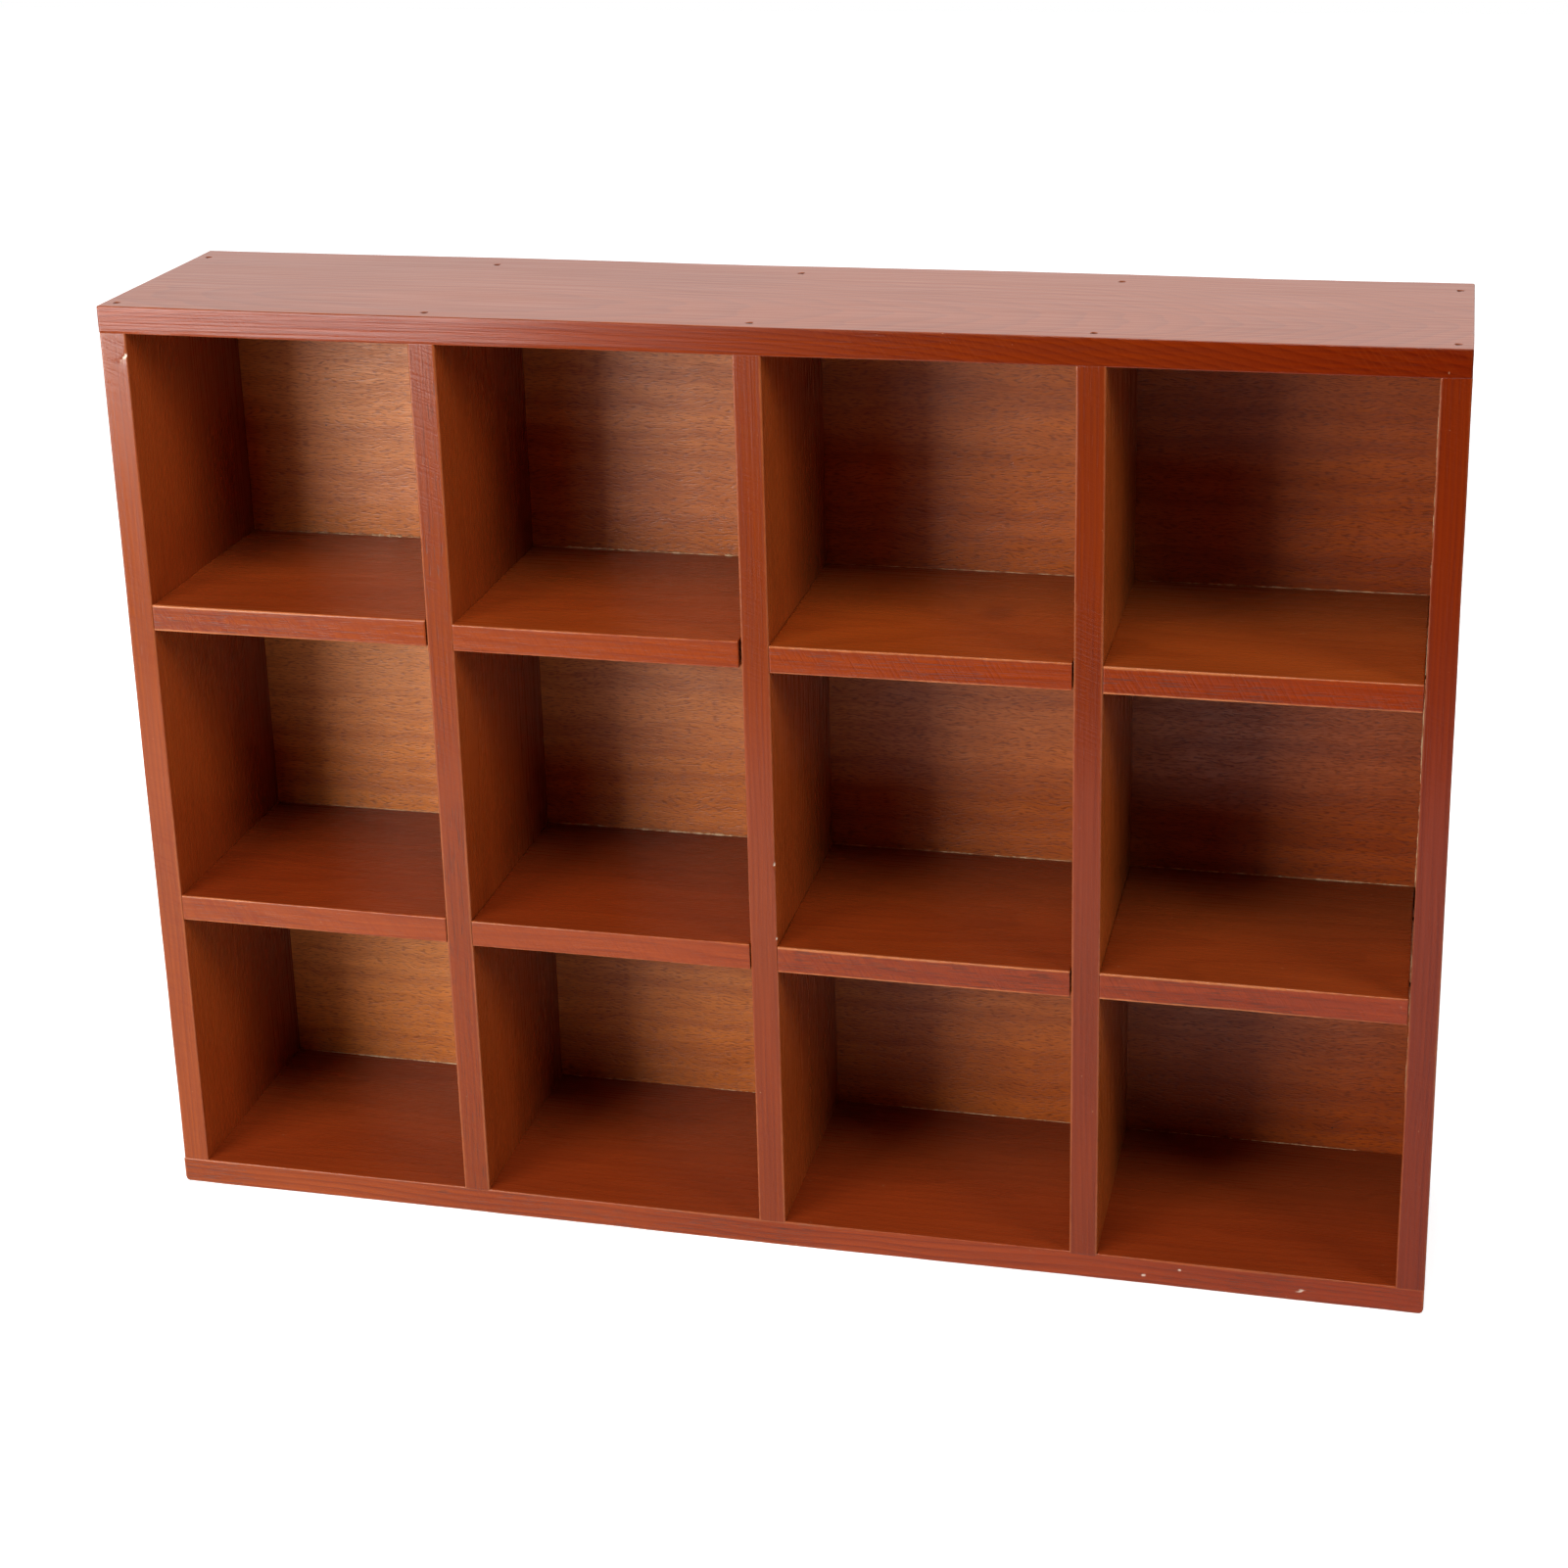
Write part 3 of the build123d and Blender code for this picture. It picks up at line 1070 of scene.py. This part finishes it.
@dataclass
class Carcass:
    """Boards of the organizer: top, bottom, sides, dividers and shelves.

    Fields:
        effects: The shared effects.
        columns, tiers: Compartments side by side, and shelves one above another.
        arris: Radius of the open arrises, in metres.
        butt: Radius of the arrises at glued ends, in metres.
        foot: Radius of the worn lower corners of the bottom board, in metres.
        let_in: How far the uprights reach past their ends into the filled joints, in metres.
        frame_nails, shelf_nails: Places of the nails along Y in the frame boards and in the shelves.
        set_forward: How far each shelf's front stands before the dividers, by tier and column.
        shades: Tints of the faces: (0, 0) is the bottom board, (0, 1) to (0, 5) are the uprights from the
            left, and the others are the shelves by tier and column.
        knots: Places and radii of the knots in the shelves, by tier and column, in mm.
    """

    effects: Effects
    columns: int = 4
    tiers: int = 2
    arris: float = 0.4 * MM
    butt: float = 0.08 * MM
    foot: float = 2.0 * MM
    let_in: float = 0.3 * MM
    frame_nails: tuple[float, float] = (-35.75 * MM, 30.25 * MM)
    shelf_nails: tuple[float, float] = (-22.75 * MM, 22.75 * MM)
    set_forward: dict[tuple[int, int], float] = field(default_factory=lambda: {
        (1, 1): 0.05 * MM, (1, 2): 0.20 * MM, (1, 3): 0.15 * MM, (1, 4): 0.00 * MM,
        (2, 1): 0.10 * MM, (2, 2): 0.35 * MM, (2, 3): 0.25 * MM, (2, 4): 0.05 * MM,
    })
    shades: dict[tuple[int, int], Colour] = field(default_factory=lambda: {
        (0, 0): (0.80, 0.70, 0.75, 1.0),
        (0, 1): WHITE, (0, 2): (1.0, 1.1, 1.1, 1.0), (0, 3): (1.12, 1.4, 1.5, 1.0),
        (0, 4): (1.25, 1.75, 1.8, 1.0), (0, 5): (0.9, 1.0, 1.0, 1.0),
        (1, 1): (0.78, 0.66, 0.65, 1.0), (1, 2): (0.76, 0.66, 0.65, 1.0), (1, 3): (0.84, 0.80, 0.75, 1.0),
        (1, 4): (0.90, 0.95, 1.0, 1.0), (2, 1): (1.03, 1.03, 1.0, 1.0), (2, 2): (1.08, 1.12, 1.0, 1.0),
        (2, 3): (1.14, 1.25, 1.0, 1.0), (2, 4): (1.12, 1.3, 1.2, 1.0),
    })
    knots: dict[tuple[int, int], tuple[Triple, float]] = field(default_factory=lambda: {
        (2, 3): ((66.5, -1.0, 204.0), 9.0),
    })

    def shelf_node(self, tier: int, column: int) -> str:
        """Name of a shelf's node, by its tier from below and its column from the left."""
        return f"shelf_tier{tier}_column{column}"

    def upright_node(self, number: int) -> str:
        """Name of an upright's node, from 0 for the left side to the right side."""
        return {0: "left_side", self.columns: "right_side"}.get(number, f"divider_{number}")

    def upright_centres(self) -> list[float]:
        """Middles of all uprights along X."""
        nodes = [self.upright_node(number) for number in range(self.columns + 1)]
        return [float(np.mean(node_box(node), axis=0)[0]) for node in nodes]

    def shelf_heights(self, column: int) -> list[float]:
        """Middles of the shelves of a column along Z."""
        nodes = [self.shelf_node(tier, column) for tier in range(1, self.tiers + 1)]
        return [float(np.mean(node_box(node), axis=0)[2]) for node in nodes]

    def cover_plank(self, node: str, sign: int, seed: int, nicks: Sequence[Nick] = ()) -> Plank:
        """Top or bottom board, with nail pits over every upright on its outer face.

        Args:
            node: The board's node.
            sign: 1 for the top, -1 for the bottom.
            seed: Seed of its unevenness.
            nicks: Dents in its arrises.

        Returns:
            The plank.
        """
        low, high = node_box(node)
        face = high[2] if sign > 0 else low[2]
        pits = [NailPit((x, y, face), 2, sign) for x in self.upright_centres() for y in self.frame_nails]
        radii = np.array([self.arris * 1.3, self.arris, self.arris])
        foot = 0.0 if sign > 0 else self.foot
        return Plank(node, low, high, radii, (0, 1, 2), GrainAxis.WIDTH, seed, pits, nicks, foot=foot)

    def upright_plank(self, number: int, seed: int, nicks: Sequence[Nick] = ()) -> Plank:
        """Side or divider, with nail pits where the nails go in.

        Args:
            number: Number of the upright from the left.
            seed: Seed of its unevenness.
            nicks: Dents in its arrises.

        Returns:
            The plank.
        """
        node = self.upright_node(number)
        low, high = node_box(node)
        sign = 1 if number == self.columns else -1
        face = high[0] if sign > 0 else low[0]
        column = min(number + 1, self.columns)
        heights = self.shelf_heights(column)
        pits = [NailPit((face, y, z), 0, sign) for z in heights for y in self.shelf_nails]
        low[2] -= self.let_in
        high[2] += self.let_in
        radii = np.array([self.arris, self.arris, self.butt])
        return Plank(node, low, high, radii, (0, 1), GrainAxis.HEIGHT, seed, pits, nicks)

    def shelf_plank(self, tier: int, column: int, seed: int) -> Plank:
        """Short shelf between two uprights, set a little forward.

        Args:
            tier: Tier from below.
            column: Column from the left.
            seed: Seed of its unevenness.

        Returns:
            The plank.
        """
        node = self.shelf_node(tier, column)
        low, high = node_box(node)
        low[1] -= self.set_forward[tier, column]
        radii = np.array([self.butt, self.arris, self.arris])
        return Plank(node, low, high, radii, (1, 2), GrainAxis.WIDTH, seed)

    def nicks(self) -> dict[str, list[Nick]]:
        """Dents and splinters in the front edges of the boards, by node."""
        front = node_box("left_side")[0][1]
        centres = self.upright_centres()
        half_board = float(node_box("divider_1")[1][0] - centres[1])
        left_x = centres[0] + half_board - 0.7 * MM
        first_x = centres[1] - half_board
        second_x = centres[2] + half_board
        steep = (0.78, 0.0, 0.62)
        slant = (0.9, 0.0, 0.44)
        return {
            "left_side": [Nick((left_x, front, 0.2845), 0.75 * MM, 0.3 * MM, 0.9, steep, 2.2)],
            "divider_1": [Nick((first_x, front, 0.2290), 0.9 * MM, 0.5 * MM, 0.0)],
            "divider_2": [Nick((second_x, front, z), 0.6 * MM, 0.25 * MM, 0.8) for z in (0.1325, 0.1075)],
            "bottom_board": [
                Nick((0.118, front, 0.0030), 0.6 * MM, 0.15 * MM, 0.6, ALONG_X),
                Nick((0.129, front, 0.0062), 0.5 * MM, 0.15 * MM, 0.7, ALONG_X),
                Nick((0.166, front, 0.0035), 0.6 * MM, 0.15 * MM, 0.6, slant, 2.4),
            ],
        }

    def top_finish(self) -> StainedWood:
        """Finish of the top board, whose wide arches run to the right."""
        return StainedWood(
            GrainAxis.WIDTH, pith=(102.0, 22.0, 52.0), taper=0.22,
            light=(0.380, 0.076, 0.0095, 1.0), dark=(0.220, 0.034, 0.0050, 1.0),
            # painted light falloff along the top's front edge, lighter at the left
            edge_light_falloff=((0.64, 0.50, 0.36, 1.0), (0.40, 0.16, 0.09, 1.0)),
            gloss=0.26, roughness=0.30, edge_roughness=0.15, fibre_depth=0.4, face_grain=0.6,
            saw_direction=(0.8, 0.0, 0.6), saw_depth=0.18, pore_depth=0.15, rub_and_highlight=0.06,
        )

    def bottom_finish(self) -> StainedWood:
        """Finish of the bottom board."""
        return StainedWood(
            GrainAxis.WIDTH, pith=(300.0, -20.0, 95.0), waviness=12.0, saw_depth=0.3,
            # rear: painted shade deep in the compartments
            shade=self.shades[0, 0], rear=(1.08, 1.5, 1.9, 1.0), edge_light_falloff=SHELF_EDGE_LIGHT_FALLOFF,
        )

    def upright_finish(self, number: int) -> StainedWood:
        """Finish of an upright by its number from the left, each from its own part of the tree."""
        return StainedWood(
            GrainAxis.HEIGHT, pith=(211.0 * number, 60.0 - 17.0 * number, 75.0 + 9.0 * number),
            # rear: painted shade deep in the compartments
            shade=self.shades[0, number + 1], rear=(0.66, 0.88, 1.2, 1.0), ring_depth=0.35,
            saw_direction=(0.35, 0.0, 0.94), saw_depth=0.4, pore_depth=0.5 if number == 1 else 0.1,
        )

    def shelf_finish(self, tier: int, column: int, seed: int) -> StainedWood:
        """Finish of a shelf by its tier and column, each from its own part of the tree."""
        return StainedWood(
            GrainAxis.WIDTH, pith=(97.0 * seed, 15.0 * (column - 2.5), 60.0 + 13.0 * column + 29.0 * tier),
            # rear: painted shade deep in the compartments
            shade=self.shades[tier, column], rear=(0.95, 1.3, 1.7, 1.0), edge_light_falloff=SHELF_EDGE_LIGHT_FALLOFF,
            ring_depth=0.35, face_grain=0.6, saw_depth=0.75, rub_and_highlight=0.6,
            knot=self.knots.get((tier, column), StainedWood.knot),
        )

    def build(self) -> None:
        """Make, dress and report every board."""
        nicks = self.nicks()
        planks = [
            (self.cover_plank("top_board", 1, 101), self.top_finish()),
            (self.cover_plank("bottom_board", -1, 102, nicks["bottom_board"]), self.bottom_finish()),
        ]
        for number in range(self.columns + 1):
            dents = nicks.get(self.upright_node(number), ())
            planks.append((self.upright_plank(number, 110 + number, dents), self.upright_finish(number)))
        for tier in range(1, self.tiers + 1):
            for column in range(1, self.columns + 1):
                seed = 120 + 10 * tier + column
                finish = self.shelf_finish(tier, column, seed)
                planks.append((self.shelf_plank(tier, column, seed), finish))
        for plank, finish in planks:
            piece = plank.build(f"{plank.node}_plank")
            material = finish.material(f"stain_{plank.node}", plank.middle / MM, self.effects)
            dress(piece, material, plank.node)


@dataclass
class Backing:
    """Plywood panel and the ragged glue lines where the shelves meet it.

    Fields:
        effects: The shared effects.
        carcass: The boards, for their places.
        bead: Typical radius of a glue line, in metres.
        bead_step: Spacing of the profiles along a glue line, in metres.
        faint, upright: Factors on the radius of most lines, and of the one beside the right side.
        strong: Factor on the line of some compartments, by row from below and column.
    """

    effects: Effects
    carcass: Carcass
    bead: float = 0.50 * MM
    bead_step: float = 0.5 * MM
    faint: float = 0.65
    upright: float = 0.8
    strong: dict[tuple[int, int], float] = field(default_factory=lambda: {
        (3, 1): 1.5, (3, 2): 1.3, (2, 2): 1.3,
    })

    def panel_plank(self) -> Plank:
        """The panel as a thin plank with nail pits on its rear, grown by its clearance to the frame."""
        low, high = node_box("back_panel")
        low[0], high[0] = node_box("left_side")[1][0], node_box("right_side")[0][0]
        low[2], high[2] = node_box("bottom_board")[1][2], node_box("top_board")[0][2]
        uprights = self.carcass.upright_centres()
        rows = [(low[2] + high[2]) / 2 + step * high[2] / 3 for step in (-1, 0, 1)]
        places = [(x, z) for x in uprights[1:-1] for z in rows]
        columns = range(1, self.carcass.columns + 1)
        shelves = [self.carcass.shelf_node(tier, column) for tier in (1, 2) for column in columns]
        places += [tuple(np.mean(node_box(shelf), axis=0)[[0, 2]]) for shelf in shelves]
        pits = [NailPit((x, high[1], z), 1, 1) for x, z in places]
        radii = np.array([0.12, 0.12, 0.12]) * MM
        return Plank(
            "back_panel", low, high, radii, (), GrainAxis.WIDTH, 150, pits, warp=0.05 * MM, step=12 * MM
        )

    def bead_line(
        self, start: Triple, stop: Triple, strength: float, seed: int
    ) -> tuple[np.ndarray, np.ndarray]:
        """A ragged line of glue: a round profile of wandering radius, carried along a straight joint.

        Args:
            start: One end of the joint.
            stop: Its other end.
            strength: Factor on the radius.
            seed: Seed of the raggedness.

        Returns:
            Points, and rows of four point numbers, with both ends drawn in to small caps.
        """
        way = np.array(stop) - np.array(start)
        length = float(np.linalg.norm(way))
        count = int(length / self.bead_step)
        share = np.linspace(0.0, 1.0, count)
        path = np.array(start) + share[:, None] * way
        swell = 0.65 + 0.45 * ripple(path, 21 * MM, seed, 5) + 0.3 * ripple(path, 3.1 * MM, seed + 1, 5)
        swell = np.clip(swell + 0.3 * ripple(path, 1.2 * MM, seed + 2, 5), 0.06, 2.2)
        fade = np.sqrt(np.sin(math.pi * np.clip(share, 0.004, 0.996)))
        radius = self.bead * strength * swell * fade
        angle = np.linspace(0.0, 2.0 * math.pi, BEAD_SIDES, endpoint=False)
        side = np.array([0.0, -1.0, 0.0])
        up = np.cross(way / length, side)
        ring = np.cos(angle)[:, None] * side + np.sin(angle)[:, None] * up
        points = path[:, None, :] + radius[:, None, None] * ring
        index = np.arange(count * BEAD_SIDES).reshape(count, BEAD_SIDES)
        around = np.concatenate([index, index[:, :1]], axis=1)
        caps = [index[-1][BEAD_CAP], index[0][BEAD_CAP][:, ::-1]]
        return points.reshape(-1, 3), np.concatenate([quads(around, True), *caps])

    def glue_joints(self) -> list[tuple[Triple, Triple, float]]:
        """Joints of the panel that show glue: along each shelf, and down the right side board.

        Returns:
            Start, stop and strength of each line.
        """
        front = node_box("back_panel")[0][1]
        joints = []
        for column in range(1, self.carcass.columns + 1):
            left = node_box(self.carcass.upright_node(column - 1))[1][0]
            right = node_box(self.carcass.upright_node(column))[0][0]
            tops = [node_box("bottom_board")[1][2]]
            tops += [node_box(self.carcass.shelf_node(tier, column))[1][2] for tier in (1, 2)]
            for row, top in enumerate(tops, start=1):
                strength = self.strong.get((row, column), self.faint)
                joints.append(((left, front, top), (right, front, top), strength))
        right = node_box("right_side")[0][0]
        low, high = node_box("bottom_board")[1][2], node_box("top_board")[0][2]
        joints.append(((right, front, low), (right, front, high), self.upright))
        return joints

    def build(self) -> None:
        """Make, dress and report the panel and its glue lines."""
        sheet = self.panel_plank().build("back_panel_sheet")
        stain = StainedPlywood().material("stain_back_panel", self.effects)
        dress(sheet, stain, "back_panel")
        joints = self.glue_joints()
        lines = [self.bead_line(*joint, 160 + 3 * number) for number, joint in enumerate(joints)]
        offsets = np.cumsum([0] + [len(points) for points, _ in lines])
        points = np.concatenate([points for points, _ in lines])
        faces = np.concatenate([faces + offset for (_, faces), offset in zip(lines, offsets)])
        glue = make_object("panel_glue_lines", points, faces)
        dress(glue, DriedGlue().material("dried_glue"))


@dataclass(frozen=True)
class SoftLamp:
    """A soft rectangular lamp.

    Fields:
        name: Its name.
        place: Where it stands.
        size: Its width and height, in metres.
        power: Its power, in watts.
    """

    name: str
    place: Triple
    size: tuple[float, float]
    power: float


@dataclass
class Studio:
    """Floor, lamps, surroundings and camera.

    Fields:
        camera_place, camera_turn: Place of the camera, and its Euler angles in degrees.
        lens, sensor: Focal length and width of the sensor, in mm.
        shift: Upright lens shift, as a share of the sensor.
        floor_size, floor_front: Width of the floor, and where it ends before the organizer, in metres.
        floor_drop: How far the floor lies below the organizer, in metres.
        aim: Place that all lamps point at.
        lamps: The lamps.
    """

    camera_place: Triple = (0.19503, -0.7904, 0.48509)
    camera_turn: Triple = (71.9636, 1.4379, 13.4176)
    lens: float = 63.79
    shift: float = -0.15
    sensor: float = 36.0
    floor_size: float = 6.0
    floor_front: float = -0.47
    floor_drop: float = 0.2 * MM
    aim: Triple = (-0.05, 0.0, 0.15)
    lamps: tuple[SoftLamp, ...] = (
        SoftLamp("key", (-0.525, -0.92, 0.39), (0.30, 0.74), 7.5),
        SoftLamp("key_left", (-0.75, -0.92, 0.39), (0.15, 0.74), 1.9),
        SoftLamp("key_right", (-0.30, -0.92, 0.39), (0.15, 0.74), 0.55),
        SoftLamp("key_side", (-0.76, -0.70, 0.25), (0.20, 0.45), 5.2),
        SoftLamp("overhead", (0.05, -0.68, 1.30), (0.50, 0.45), 7.0),
        SoftLamp("right_fill", (1.03, -0.55, 0.80), (0.45, 0.45), 6.4),
        SoftLamp("rear", (0.0, 0.68, 1.33), (0.45, 0.45), 2.2),
    )

    def build_camera(self) -> None:
        """Place the camera at the photograph's viewpoint."""
        data = bpy.data.cameras.new("camera")
        data.sensor_width = self.sensor
        data.lens = self.lens
        data.shift_y = self.shift
        camera = bpy.data.objects.new("camera", data)
        camera.location = self.camera_place
        camera.rotation_euler = [math.radians(angle) for angle in self.camera_turn]
        bpy.context.scene.collection.objects.link(camera)
        bpy.context.scene.camera = camera

    def add_lamp(self, lamp: SoftLamp) -> None:
        """Set up a lamp, turned towards the aim and unseen by the camera."""
        data = bpy.data.lights.new(lamp.name, "AREA")
        data.shape = "RECTANGLE"
        data.size, data.size_y = lamp.size
        data.energy = lamp.power
        stand = bpy.data.objects.new(lamp.name, data)
        stand.location = lamp.place
        x, y, z = np.array(self.aim) - np.array(lamp.place)
        stand.rotation_euler = (math.atan2(math.hypot(x, y), -z), 0.0, math.atan2(y, x) - math.pi / 2)
        stand.visible_camera = False
        bpy.context.scene.collection.objects.link(stand)

    def build_floor(self) -> None:
        """Lay a plain white floor that looks white to the camera and keeps a soft shadow."""
        half = self.floor_size / 2
        across, along = np.linspace(-half, half, 3), np.linspace(self.floor_front, half, 3)
        x, y = np.meshgrid(across, along, indexing="ij")
        points = np.stack([x.ravel(), y.ravel(), np.full(x.size, -self.floor_drop)], axis=1)
        floor = make_object("floor", points, quads(np.arange(9).reshape(3, 3), True))
        material = bpy.data.materials.new("white_floor")
        material.use_nodes = True
        material.node_tree.nodes.clear()
        s = NodeSketch(material.node_tree)
        place = s.add("ShaderNodeTexCoord").outputs["Object"]
        away = s.add("ShaderNodeVectorMath", {0: place}, operation="LENGTH").outputs["Value"]
        path = s.add("ShaderNodeLightPath").outputs
        seen = s.math("MULTIPLY", path["Is Camera Ray"], s.remap(away, 0.2, 0.46, 0.62, 1.0))
        mirrored = s.math("ADD", path["Is Glossy Ray"], path["Is Transmission Ray"], clamp=True)
        glow = s.math("MULTIPLY_ADD", mirrored, 0.24, seen)
        emission = s.add("ShaderNodeEmission", {"Color": WHITE, "Strength": glow})
        diffuse = s.add("ShaderNodeBsdfDiffuse", {"Color": (0.8, 0.8, 0.8, 1.0)})
        both = s.add("ShaderNodeAddShader", {0: emission.outputs[0], 1: diffuse.outputs[0]})
        s.add("ShaderNodeOutputMaterial", {"Surface": both.outputs[0]})
        floor.data.materials.append(material)

    def build_surroundings(self) -> None:
        """White for the camera, with a white backdrop that the organizer mirrors; dark before it."""
        world = bpy.data.worlds.new("surroundings")
        world.use_nodes = True
        world.node_tree.nodes.clear()
        s = NodeSketch(world.node_tree)
        direction = s.add("ShaderNodeTexCoord").outputs["Generated"]
        back = s.remap(s.dot(direction, ALONG_Y), -0.1, 0.4)
        path = s.add("ShaderNodeLightPath").outputs
        seen = s.math("ADD", path["Is Camera Ray"], path["Is Transmission Ray"], clamp=True)
        mirrored = s.math("MULTIPLY", s.math("MULTIPLY_ADD", path["Is Glossy Ray"], 0.78, 0.5), back)
        strength = s.math("MAXIMUM", seen, mirrored)
        background = s.add("ShaderNodeBackground", {"Color": WHITE, "Strength": strength})
        s.add("ShaderNodeOutputWorld", {"Surface": background.outputs[0]})
        bpy.context.scene.world = world

    def build(self) -> None:
        """Set up the studio."""
        bpy.context.scene.view_settings.view_transform = "Standard"
        self.build_camera()
        self.build_floor()
        self.build_surroundings()
        for lamp in self.lamps:
            self.add_lamp(lamp)
        LOG.info("studio ready")


def dress_nails() -> None:
    """Give every nail node its stained steel."""
    steel = StainedSteel().material("nail_steel_stained")
    for name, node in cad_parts.items():
        if name.endswith("_nails"):
            node.data.materials.clear()
            node.data.materials.append(steel)
            LOG.info("%s: stained steel", name)


def main() -> None:
    """Build the organizer and its studio."""
    logging.basicConfig(level=logging.INFO, format="%(name)s %(message)s")
    effects = Effects(growth_figure_group(), saw_mark_group(), worn_arris_and_highlight_group(), speck_group())
    carcass = Carcass(effects)
    carcass.build()
    Backing(effects, carcass).build()
    dress_nails()
    Studio().build()


if __name__ == "__main__":
    main()
